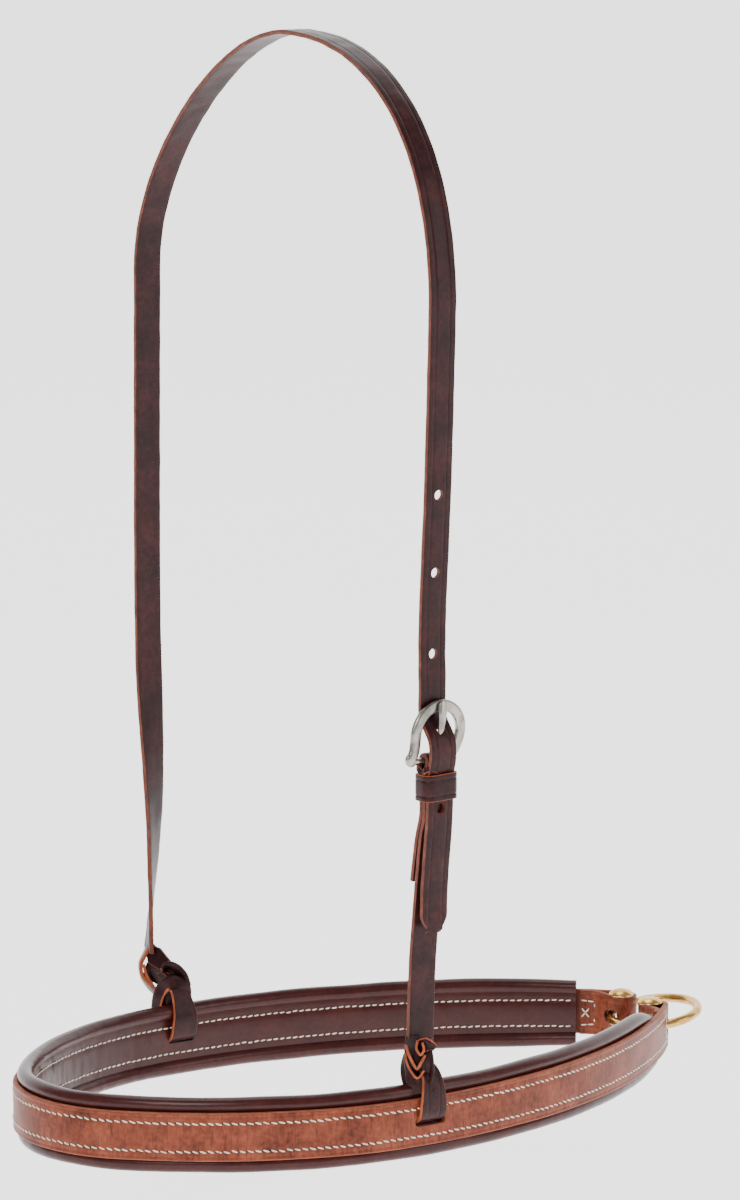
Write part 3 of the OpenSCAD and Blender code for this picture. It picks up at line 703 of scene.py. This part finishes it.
def half_plan(step=1.5):
    """Far half of the band's middle line, nose to chin: points and outward directions."""
    pts, dirs = [], []
    for c, r, a0, a1 in ((NOSE_C, NOSE_R, 180, 180 - NOSE_A), (CHEEK_C, CHEEK_R, 180 - NOSE_A, 90),
                         (JAW_C, JAW_R, 90, 90 - JAW_A)):
        n = int(abs(a1 - a0) * math.pi / 180 * r / step) + 1
        for a in np.radians(np.linspace(a0, a1, n + 1)[(1 if pts else 0):]):
            d = np.array([math.cos(a), math.sin(a)])
            pts.append(c + r * d)
            dirs.append(d)
    return np.array(pts), np.array(dirs)


HALF_P, HALF_D = half_plan()
FULL_P = np.concatenate([(HALF_P * (1, -1))[::-1][:-1], HALF_P])
FULL_D = np.concatenate([(HALF_D * (1, -1))[::-1][:-1], HALF_D])
FULL_S = np.concatenate([[0], np.cumsum(np.linalg.norm(np.diff(FULL_P, axis=0), axis=1))])
LENGTH = FULL_S[-1]
ex = np.array([math.cos(math.radians(-JAW_A)), math.sin(math.radians(-JAW_A))])
ey = np.array([-ex[1], ex[0]])


def at_s(s, off, z):
    """Point on the band at arc length s from the near chin end, off outwards, with its frame."""
    p = np.array([np.interp(s, FULL_S, FULL_P[:, i]) for i in (0, 1)])
    d = unit([np.interp(s, FULL_S, FULL_D[:, i]) for i in (0, 1)])
    q = p + d * off
    return np.array([q[0], q[1], z]), np.array([d[0], d[1], 0]), np.array([d[1], -d[0], 0])


def fold_mid():
    """Folded end in the end frame: (along, outward) points of the strap's middle, from the outer layer."""
    r, fs, ret = 7.0, -3.0, OUTER - 1.5
    rx, nx = -23.7, -15.7
    nd = math.hypot(nx, ret - fs)
    na = math.degrees(math.atan2(fs - ret, -nx)) - math.degrees(math.asin(r / nd))
    arc = [(r * math.cos(math.radians(a)), fs + r * math.sin(math.radians(a))) for a in np.arange(84, -90 + na, -5)]
    a = math.radians(na - 90)
    neck = catmull([(r * math.cos(a), fs + r * math.sin(a)), (nx + 1, ret - 0.4), (rx, ret)], 10)
    return np.array(arc + [tuple(q) for q in neck])


def make_outer():
    mid = 0.5 * (OUTER + FACE)
    far = HALF_P + HALF_D * mid
    fold = np.array([END_P + ex * x + ey * y for x, y in fold_mid()])
    half = np.concatenate([far, fold])
    plan = np.concatenate([(half * (1, -1))[::-1][:-1], half])
    plan = resample(plan, 1.5, 1)
    n = len(plan)
    s = np.concatenate([[0], np.cumsum(np.linalg.norm(np.diff(plan, axis=0), axis=1))])
    d = np.minimum(s, s[-1] - s)
    loop = np.linalg.norm(np.diff(fold, axis=0), axis=1).sum()
    height = 25 - 2 * np.clip(1 - np.abs(d - loop + 12) / 30, 0, 1) ** 1.0
    tan = tangents(np.column_stack([plan, np.zeros(n)]))
    out = np.column_stack([-tan[:, 1], tan[:, 0], np.zeros(n)])
    rings = []
    for i in range(n):
        pr, kinds = profile(height[i], 3.0, 0.8, (-7.3, 7.3, -10.4, 10.4), 0.2, 1.5)
        ring = []
        for x, y in pr:
            q = np.array([plan[i, 0], plan[i, 1], x]) + out[i] * y
            q = q + out[i] * 0.16 * noise.noise(Vector(q * 0.07))
            q[2] += 0.3 * noise.noise(Vector((q[0] * 0.02, q[1] * 0.02, 5.0)))
            ring.append(q)
        rings.append(ring)
    ob = loft("noseband_strap_leather", rings, kinds, [RUSSET, RUSSET_EDGE])
    parts = []
    for sy in (-1, 1):
        v, f = oval(19.2, 4.4, 10)
        parts.append((np.column_stack([v[:, 0], sy * SLOT_Y + v[:, 2], v[:, 1]]), f))
    cx = 228.47 + 13.5
    for sy in (-1, 1):
        v, f = [], []
        angs = np.radians(np.linspace(98, 162, 25))
        for a in angs:
            for b in np.linspace(0, 2 * math.pi, 20, endpoint=False):
                rr = 24 + RING_SLOT * math.cos(b)
                v.append((cx + rr * math.cos(a), sy * rr * math.sin(a), RING_SLOT * math.sin(b)))
        for i in range(len(angs) - 1):
            for j in range(20):
                f.append((i * 20 + j, i * 20 + (j + 1) % 20, (i + 1) * 20 + (j + 1) % 20, (i + 1) * 20 + j))
        f += [tuple(range(19, -1, -1)), tuple((len(angs) - 1) * 20 + j for j in range(20))]
        parts.append((np.array(v), f))
    return cut(ob, parts)


done(make_outer(), "noseband", "harness_leather", "noseband_strap")


def liner_section():
    """(outward, up) points of the rolled liner, counterclockwise from the lower outer edge."""
    zc, sc, r = 15.3, -0.90, 4.2
    a0 = math.degrees(math.acos((OUTER - 0.27 - sc) / r))
    a1 = 270 - math.degrees(math.asin((sc - INNER) / r))
    top = [(OUTER - 0.1, z) for z in (0, 4, 8, 11.5)]
    top += [(sc + r * math.cos(math.radians(a)), zc + r * math.sin(math.radians(a))) for a in np.linspace(-a0, a1, 26)]
    top += [(INNER - 0.04, 10.2), (INNER - 0.1, 8.8), (INNER + 0.1, 7.3), (INNER - 0.14, 5.8), (INNER - 0.3, 3.4),
            (INNER - 0.35, 0)]
    low = [(x, -z) for x, z in top[::-1]]
    return top + low[1:-1]


def make_liner():
    sec = np.array(liner_section())
    keep = (FULL_S > 24) & (FULL_S < LENGTH - 24)
    pts, dirs, ss = FULL_P[keep], FULL_D[keep], FULL_S[keep]
    nose = np.exp(-((ss - LENGTH / 2) / 120) ** 2)
    rings = []
    for i in range(len(pts)):
        ring = []
        end = min(ss[i] - 24, LENGTH - 24 - ss[i])
        dip = math.exp(-(end / 22.0) ** 2)
        chin_near = ss[i] < LENGTH / 2
        for x, z in sec:
            inside = x < 0
            amp = (0.22 + 0.5 * nose[i]) if inside else 0.18
            q = Vector((ss[i] * 0.16, z * 0.05, 2.0 if inside else 9.0))
            fine = Vector((ss[i] * 0.45, z * 0.10, 4.0))
            wave = amp * noise.noise(q) + (0.10 + 0.22 * nose[i]) * noise.noise(fine) * inside
            roll = abs(z) > 12
            pinch = 1 - (0.42 if chin_near and z > 0 else 0.06) * dip
            zz = z * pinch + (0.45 * noise.noise(Vector((ss[i] * 0.03, 3.0, math.copysign(7, z)))) if roll else 0)
            xx = x + (wave if abs(x - OUTER) > 0.4 else 0) * (0.7 if roll else 1)
            p = pts[i] + dirs[i] * xx
            ring.append((p[0], p[1], zz))
        rings.append(ring)
    ob = loft("noseband_liner_leather", rings, [0] * len(sec), [LINER, HOLE_SHADE], smooth=60)
    parts = []
    for sy in (-1, 1):
        v, f = oval(16.6, 3.4, 9)
        parts.append((np.column_stack([v[:, 0], sy * SLOT_Y + v[:, 2], v[:, 1]]), f))
    # The slot walls take material slot 1, the dark hole colour: painted shade inside the slots.
    return cut(ob, parts, 1, 60)


liner = done(make_liner(), "noseband", "liner_leather", "noseband_liner")


# ---- stitching ----

def stitch(c, along, out, length, r, flat=0.75):
    """One thread stitch: a bulging grain lying on the leather."""
    n, m = 7, 8
    across = np.cross(out, along)
    v = []
    for i in range(n):
        f = -1 + 2 * i / (n - 1)
        rad = r * max(0.12, (1 - abs(f) ** 3.2)) ** 0.5
        sink = 0.32 * r * f * f
        for j in range(m):
            a = 2 * math.pi * j / m
            v.append(c + along * (f * length / 2) + across * rad * math.cos(a) + out * (rad * flat * math.sin(a) - sink))
    f = [(i * m + j, i * m + (j + 1) % m, (i + 1) * m + (j + 1) % m, (i + 1) * m + j) for i in range(n - 1) for j in range(m)]
    return np.array(v), f + [tuple(range(m - 1, -1, -1)), tuple((n - 1) * m + j for j in range(m))]


def pit(c, out, along, r):
    """Awl hole: a lens just proud of the leather, coloured dark as painted shade of the hole."""
    across = np.cross(out, along)
    m = 10
    v = [c + out * 0.05] + [c - out * 0.12 + r * (along * 0.75 * math.cos(a) + across * math.sin(a))
                            for a in np.linspace(0, 2 * math.pi, m, endpoint=False)] + [c - out * 0.3]
    f = [(0, 1 + j, 1 + (j + 1) % m) for j in range(m)] + [(m + 1, 1 + (j + 1) % m, 1 + j) for j in range(m)]
    return np.array(v), f


def stitch_rows(sign, name, node):
    z = 7.3 * sign
    pitch = 3.9
    threads, pits = [], []
    s = 3.0
    while s < LENGTH - 3.0:
        for face, lo in ((1, 3.0), (-1, 26.0)):
            if not lo < s < LENGTH - lo:
                continue
            off = FACE - 0.05 if face > 0 else INNER - 0.02
            jit = rng.normal(0, 1, 3)
            c, d, tan = at_s(s, off, z + 0.10 * jit[0])
            d = d * face
            slant = (0.30 if face > 0 else 0.10) + 0.04 * jit[1]
            al = unit(tan + np.array([0, 0, slant]))
            threads.append(stitch(c + d * 0.12, al, d, (3.3 if face > 0 else 2.8) + 0.12 * jit[2], 0.43))
            c2, d2, tan2 = at_s(s + pitch / 2, off, z)
            pits.append(pit(c2, d2 * face, tan2, 0.55))
        s += pitch
    v, f = merge(threads)
    ob = done(solid(name, v, f, [THREAD]), "noseband", "thread", node)
    v, f = merge(pits)
    # The awl holes are dark lenses on the leather: painted shade of the holes.
    done(solid(name + "_hole_shade", v, f, [HOLE_SHADE]), "noseband", "thread")
    return ob


stitch_rows(1, "stitching_upper", "stitching_top")
stitch_rows(-1, "stitching_lower", "stitching_bottom")


def end_stitches(side, name, node):
    threads = []
    y0 = OUTER - 3.0 - 0.05

    def to(x, y, z):
        q = END_P + ex * x + ey * y
        return np.array([q[0], q[1] * side, z])
    out = -np.array([ey[0], ey[1] * side, 0])
    for up in (-1, 1):
        for x0, z0, x1, z1, n in ((-23, 7.0, -15.5, 6.4, 2), (-22.6, 2.6, -18.2, -2.6, 2), (-15.2, 5.6, -15.2, 3.0, 1)):
            a, b = to(x0, y0, up * z0), to(x1, y0 - 0.15, up * z1)
            al = unit(b - a)
            step = np.linalg.norm(b - a) / n
            for i in range(n):
                threads.append(stitch(a + al * step * (i + 0.5) + out * 0.15, al, out, step * 0.86, 0.45))
    for z in (-4.6, -1.5, 1.6, 4.7):
        c, d, _ = at_s(10 if side < 0 else LENGTH - 10, FACE - 0.05, z)
        threads.append(stitch(c + d * 0.12, np.array([0, 0, 1.0]), d, 2.6, 0.43))
    v, f = merge(threads)
    return done(solid(name, v, f, [THREAD]), "noseband", "thread", node)


end_stitches(-1, "end_stitches_near", "end_stitching_near")
end_stitches(1, "end_stitches_far", "end_stitching_far")


# ---- chin ring and posts ----

def make_hardware():
    for side, tag in ((-1, "near"), (1, "far")):
        at = (228.47, side * 12.46)
        done(lathe("chin_post_shank_" + tag, [(0, -11.4), (2.3, -11.4), (2.5, -11.2), (2.5, 11.2), (2.3, 11.4), (0, 11.4)],
                   at, [BRASS]), "noseband", "brass", "chin_post_" + tag)
        dome = [(0, 3.8), (1.7, 3.74), (3.3, 3.46), (4.6, 3.0), (5.6, 2.35), (6.3, 1.7), (6.75, 1.2), (7.0, 0.8),
                (7.0, 0.45), (6.8, 0.15), (6.4, 0.0), (0, 0.0)]
        done(lathe("chin_post_head_" + tag, [(r, 11.5 + h) for r, h in dome], at, [BRASS]), "noseband", "brass")
        done(lathe("chin_cap_dome_" + tag, [(r, -11.5 - h) for r, h in dome], at, [BRASS]), "noseband", "brass",
             "chin_cap_" + tag)
    rings = []
    tilt = math.radians(9)
    for a in np.linspace(0, 2 * math.pi, 120, endpoint=False):
        ring = []
        for b in np.linspace(0, 2 * math.pi, 28, endpoint=False):
            rr = 24 + WIRE * math.cos(b)
            x, y, z = rr * math.cos(a), rr * math.sin(a), WIRE * math.sin(b)
            ring.append((241.97 + x * math.cos(tilt) - z * math.sin(tilt), y, 2.38 + x * math.sin(tilt) + z * math.cos(tilt)))
        rings.append(ring)
    done(loft("chin_ring_wire", rings, [0] * 28, [BRASS], smooth=80, hoop=True), "ring", "brass", "chin_ring")


make_hardware()


# ---- ties ----

R = np.array([0.80737, -0.59004, 0.0])
D = np.array([-0.59004, -0.80737, 0.0])
U = np.array([0.0, 0.0, 1.0])


def local(anchor, pts):
    """Points given as (across, up, towards the eye) about an anchor."""
    return np.array([np.asarray(anchor, float) + R * a + U * b + D * c for a, b, c in pts])


def twisted(path, turns):
    """Side directions that turn from one (across, up, towards) direction to another along a path."""
    keys = np.array([R * a + U * b + D * c for a, b, c in turns])
    t = np.linspace(0, len(keys) - 1, len(path))
    return unit(np.stack([np.interp(t, np.arange(len(keys)), keys[:, i]) for i in range(3)], 1))


def lace(name, anchor, pts, turns, w, t=2.0, edge=EDGE, **more):
    path = catmull(local(anchor, pts), 9)
    return ribbon(name, path, twisted(path, turns), w, t, [LATIGO, edge], **more)


def tie_loop(side, tag):
    """The strap's turn through the slot: down the outside, through and up the inside."""
    out = FACE + 0.9 + 0.3 + 1.0
    inn = -0.9 - 4.2 - 0.3 - 1.0
    top = 19.5
    pts = [(1.2, top + 8), (out - 1.8, top + 4), (out, top - 4), (out, top - 12), (out - 1.6, 2.4), (OUTER, 0),
           (INNER + 1, 0), (inn + 1.6, 2.4), (inn, top - 11), (inn, top - 4), (inn / 2, top + 4), (-1.2, top + 8)]
    p = resample(catmull([(0, side * (SLOT_Y + y), z) for y, z in pts], 8), 1.0, 1)
    widths = SW - 4.5 * np.clip((p[:, 2] - 9) / 15, 0, 1)
    return done(ribbon("tie_loop_" + tag, p, (1, 0, 0), SW, 2.0, [LATIGO, EDGE], creases=(-3.6, 3.6), wobble=0.25,
                       seed=side * 5.0, widths=widths), "noseband", "latigo", tag + "_tie")


tie_loop(-1, "near")
tie_loop(1, "far")



def core(name, anchor, centre, size, body="noseband"):
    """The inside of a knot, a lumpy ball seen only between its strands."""
    bm = bmesh.new()
    bmesh.ops.create_icosphere(bm, subdivisions=4, radius=1)
    c = local(anchor, [centre])[0]
    pts = []
    for v in bm.verts:
        q = v.co
        k = 1 + 0.16 * noise.noise(q * 1.7 + Vector((3, 1, 2)))
        pts.append(c + (R * q.x * size[0] + U * q.z * size[1] + D * q.y * size[2]) * k)
    faces = [[v.index for v in f.verts] for f in bm.faces]
    bm.free()
    return done(place(name, np.array(pts), faces, [LATIGO], smooth=80), body, "latigo")


def knot(tag, anchor, strands):
    for i, (pts, turns, w, more) in enumerate(strands):
        done(lace("%s_knot_strand_%d" % (tag, i + 1), anchor, pts, turns, w, **more), "noseband", "latigo")


FACING = (0.0, 1.0, 0.0)
ACROSS = (1.0, 0.0, 0.0)
EDGE_ON = (0.0, 0.15, 1.0)
NEAR = (0.0, -SLOT_Y, 0.0)
FAR = (0.0, SLOT_Y, 0.0)
core("near_knot_core", NEAR, (-3.2, 28.5, 2.0), (6.2, 10.5, 4.6))
knot("near", NEAR, [
    # the strap's own end, bulging as it enters the knot
    ([(-3.0, 43, 0.6), (-3.4, 38, 3.2), (-3.6, 32, 4.6), (-3.2, 26, 4.6), (-2.4, 20, 5.6), (-1.5, 15, 7.4)],
     [ACROSS] * 3, 13.5, dict(t=2.0, wobble=0.3, edge=LATIGO)),
    # first chevron, its raw edge towards the eye
    ([(-9.4, 38.6, 3.2), (-7.4, 33.6, 6.4), (-4.2, 28.4, 8.0), (-2.2, 30.8, 7.6), (-0.4, 33.8, 5.4)],
     [EDGE_ON] * 3, 5.4, dict(t=1.5, bevel=0.35)),
    # second chevron below it
    ([(-9.8, 35.4, 1.6), (-9.2, 31.2, 5.2), (-7.2, 27.0, 7.0), (-3.8, 23.4, 8.0), (-0.8, 26.4, 6.4)],
     [EDGE_ON] * 3, 5.4, dict(t=1.2, bevel=0.3)),
    # the turn that bulges to the left and comes back across
    ([(-8.6, 34.5, 0.2), (-9.4, 29.0, 1.4), (-9.0, 24.0, 2.6), (-7.2, 20.0, 4.2), (-3.5, 18.2, 5.6)],
     [(0.25, 0.2, 1.0), (0.7, 0.2, 0.9), (0.6, 0.9, 0.3), (0.1, 1.0, 0.1)], 8.0, dict(t=2.0, wobble=0.2)),
    # right-hand turn
    ([(1.6, 37.0, 1.0), (2.4, 31.0, 2.8), (2.4, 25.0, 4.0), (1.0, 20.5, 5.4)],
     [(0.5, 0.0, 1.0), (0.7, 0.0, 0.8)], 7.0, dict(t=2.0, edge=LATIGO, bevel=0.8)),
    # the end, curled like a folded leaf
    ([(-3.0, 37.4, 5.0), (-1.4, 40.0, 7.4), (1.0, 41.0, 8.6), (3.4, 40.4, 9.0), (5.4, 39.4, 8.4)],
     [(0.3, 1.0, 0.35), (0.0, 1.0, 0.3), (-0.15, 1.0, 0.2)], 8.0,
     dict(t=1.7, widths=np.concatenate([np.linspace(6.0, 7.6, 18), np.linspace(7.6, 2.2, 19)]), crown=-0.8)),
    ([(-3.8, 41.6, 5.4), (-4.2, 38.4, 7.4), (-2.2, 35.6, 8.4), (-0.5, 38.2, 8.2), (-1.2, 41.6, 7.4)],
     [EDGE_ON] * 3, 4.0, dict(t=1.3, bevel=0.3)),
])
core("far_knot_core", FAR, (-2.8, 25.6, -5.4), (7.0, 9.6, 6.0))
core("far_knot_core_left", FAR, (-16.4, 31.0, -16.0), (3.0, 5.6, 2.6))
knot("far", FAR, [
    # left strand, opening away from the strap with its edge towards the eye
    ([(-16.0, 48.0, -21.5), (-18.4, 42.6, -21.5), (-21.0, 37.0, -20.0), (-20.2, 31.0, -16.5), (-16.6, 26.6, -12.5),
      (-12.0, 23.6, -8.0)], [(0.25, 0.1, 1.0), (0.1, 0.1, 1.0), (0.3, 0.5, 1.0)], 7.0, dict(t=2.0)),
    # right strand, its face towards the eye, running down into the knot
    ([(-16.2, 48.0, -20.8), (-14.4, 43.8, -18.6), (-11.2, 40.0, -14.5), (-7.4, 36.6, -9.5), (-3.6, 32.5, -6.0)],
     [(0.55, 0.25, 0.6), (0.75, 0.65, 0.1), (0.7, 0.7, 0.0)], 9.0,
     dict(t=2.0, edge=DARK_EDGE, bevel=0.8, widths=np.concatenate([np.linspace(3.4, 10.5, 13), np.full(24, 10.5)]))),
    # lower edge of the same turn
    ([(-19.2, 36.4, -17.6), (-17.6, 31.4, -14.4), (-14.6, 27.0, -10.6), (-11.0, 22.0, -6.5)],
     [EDGE_ON, (0.3, 0.3, 1.0)], 5.0, dict(t=1.6, bevel=0.35)),
    # flap between them
    ([(-18.0, 34.6, -17.4), (-13.6, 33.0, -12.6), (-9.6, 31.4, -8.6), (-4.6, 30.6, -5.0)],
     [(0.25, 1.0, 0.0), (0.1, 1.0, 0.1)], 8.5, dict(t=1.8, edge=DARK_EDGE, bevel=0.7)),
    # band over the top
    ([(-9.4, 35.0, -9.4), (-6.4, 38.4, -7.4), (-1.8, 38.0, -4.6), (2.0, 34.2, -3.2), (3.6, 28.6, -3.4)],
     [(0.35, 0.3, 1.0), (0.5, 0.4, 0.9), (0.6, 0.5, 0.7)], 9.0, dict(t=2.2, crown=0.3, wobble=0.2, edge=LATIGO, bevel=0.9)),
    # main wrap across the front
    ([(-10.6, 13.6, -7.6), (-9.6, 22.0, -3.6), (-6.4, 28.8, -0.8), (-1.8, 30.4, 0.8), (2.6, 27.4, 0.2), (2.6, 21.6, -2.2)],
     [(1.0, -0.1, 0.1), (0.8, -0.5, 0.1), (0.1, -1.0, 0.2), (-0.4, -1.0, 0.1), (-1.0, -0.3, 0.0)], 9.0,
     dict(t=2.2, crown=0.35, wobble=0.25, edge=LATIGO, bevel=0.9)),
    # small end tucked in
    ([(-10.4, 35.6, -8.0), (-8.6, 33.4, -4.6), (-6.4, 31.8, -3.4)], [(0.5, 0.7, 0.3)] * 2, 3.6, dict(t=1.5, bevel=0.3)),
])

for ob, node in ((crown, "crown_strap"), (cheek, "cheek_strap")):
    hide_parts(node)
    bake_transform(ob)


# ---- light and floor ----

def area(name, at, to, size, power, colour=(1, 1, 1)):
    data = bpy.data.lights.new(name, "AREA")
    data.shape, data.size, data.size_y = "RECTANGLE", size[0], size[1]
    data.energy, data.color = power, colour
    ob = bpy.data.objects.new(name, data)
    bpy.context.scene.collection.objects.link(ob)
    ob.location = at
    ob.rotation_euler = (Vector(to) - Vector(at)).to_track_quat("-Z", "Y").to_euler()


def make_stage():
    me = bpy.data.meshes.new("floor")
    s, back, z = 14.0, 9.0, -0.66
    pts = [(-s, -8.0, z), (s, -8.0, z)]
    rows = [(3.0, z)] + [(3.0 + 3.0 * math.sin(a), z + 3.0 - 3.0 * math.cos(a)) for a in np.linspace(0.1, math.pi / 2, 16)] + [(6.0, back)]
    for y, h in rows:
        pts += [(-s, y, h), (s, y, h)]
    me.from_pydata(pts, [], [(2 * i, 2 * i + 1, 2 * i + 3, 2 * i + 2) for i in range(len(rows))])
    me.shade_smooth()
    t = Tree("pale_floor")
    t.shader(Base_Color=(0.9, 0.9, 0.9, 1), Roughness=0.9)
    t.bsdf.inputs["Emission Color"].default_value = (1, 1, 1, 1)
    t.bsdf.inputs["Emission Strength"].default_value = 1.5
    me.materials.append(t.mat)
    ob = bpy.data.objects.new("floor", me)
    ob.rotation_euler = (0, 0, math.radians(-36.16))
    bpy.context.scene.collection.objects.link(ob)
    w = bpy.data.worlds.new("studio")
    w.use_nodes = True
    w.node_tree.nodes["Background"].inputs[0].default_value = (1, 1, 1, 1)
    w.node_tree.nodes["Background"].inputs[1].default_value = 0.45
    bpy.context.scene.world = w
    area("key", (-2.6, -2.2, 1.9), (0, 0, -0.3), (1.6, 1.6), 70)
    area("fill", (1.8, -2.6, 0.6), (0, 0, -0.3), (1.4, 2.0), 26)
    area("top", (0.2, 0.6, 2.4), (0, 0, -0.3), (1.6, 1.6), 30)


make_stage()
